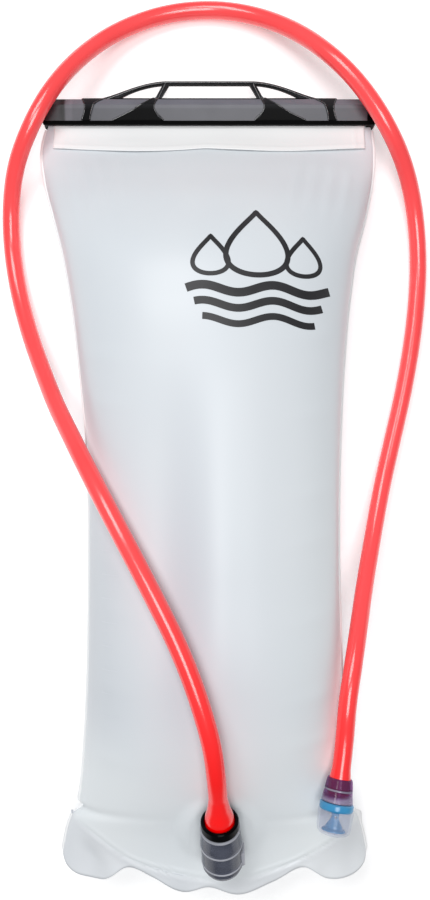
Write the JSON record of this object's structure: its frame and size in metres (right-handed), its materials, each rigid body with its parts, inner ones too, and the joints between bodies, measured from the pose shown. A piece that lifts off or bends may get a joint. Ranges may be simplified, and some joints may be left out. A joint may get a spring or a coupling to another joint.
{
  "type": "hydration bladder",
  "caption": "Soft film water reservoir with a slide-on closure bar and carry loop, a push-in port low on the front, and a long red drinking hose with a bite valve.",
  "frame": {"origin": "bottom centre of the bag and bar's box, where the bag lies on its back; the free hose is left out", "axes": "+Y runs up the bag from the hem to the slide bar, +Z points away from the surface it lies on, +X completes the frame"},
  "size_m": [0.2399, 0.4896, 0.0956],
  "materials": {
    "film": "frosted translucent polyurethane film",
    "rail": "satin",
    "grey_plastic": "satin dark grey",
    "soft_black": "soft gloss black",
    "flange": "frosted",
    "smoky_plastic": "clear smoky gloss",
    "white_plastic": "moulded",
    "spring_steel": "drawn wire",
    "seal_rubber": "matte",
    "red_hose": "translucent gloss",
    "clear_plastic": "clear moulded",
    "blue_plastic": "moulded",
    "clear_silicone": "clear satin"
  },
  "bodies": {
    "bag": {"front_film": "film", "back_film": "film", "bottom_gusset": "film", "fold_over_flap": "film", "closure_rail_front": "rail", "closure_rail_back": "rail", "port_flange": "flange", "port_housing": "smoky_plastic", "port_end_cap": "smoky_plastic", "latch_spring": "spring_steel", "poppet_spring": "spring_steel"},
    "slider": {"slider_channel": "grey_plastic", "slider_overmould": "soft_black", "slider_end_cap": "soft_black"},
    "button": {"release_button": "smoky_plastic", "latch_plate": "white_plastic"},
    "poppet": {"shutoff_poppet": "white_plastic", "poppet_seal": "seal_rubber"},
    "hose": {"plug_body": "white_plastic", "plug_o_rings": "seal_rubber", "plug_collar": "soft_black", "hose": "red_hose", "bite_valve_sleeve": "clear_plastic", "bite_valve_barb": "clear_plastic", "bite_valve_o_ring": "seal_rubber"},
    "valve_head": {"bite_valve_core": "blue_plastic", "bite_valve_mouthpiece": "clear_silicone"}
  },
  "joints": [
    {"name": "slider_slide", "type": "slide", "parent": "bag", "child": "slider", "axis": [1, 0, 0], "range_m": [0, 0.19]},
    {"name": "plug_pull", "type": "slide", "parent": "bag", "child": "hose", "axis": [-0.0534, 0.8785, 0.4748], "range_m": [0, 0.03]},
    {"name": "button_press", "type": "slide", "parent": "bag", "child": "button", "axis": [-0.9982, -0.0607, 0], "range_m": [0, 0.0012], "stiffness_N_per_m": 400, "springref_m": -0.001, "deforming": ["latch_spring"]},
    {"name": "poppet_lift", "type": "slide", "parent": "bag", "child": "poppet", "axis": [-0.0534, 0.8785, 0.4748], "range_m": [0, 0.0014], "deforming": ["poppet_spring"]},
    {"name": "valve_twist", "type": "hinge", "parent": "hose", "child": "valve_head", "pos_m": [0.0668, -0.152, 0.0595], "axis": [-0.1591, -0.9744, 0.1591], "range_deg": [0, 90]}
  ],
  "couplings": [
    {"joint": "poppet_lift", "follows": "plug_pull", "ratio": 0.045}
  ]
}
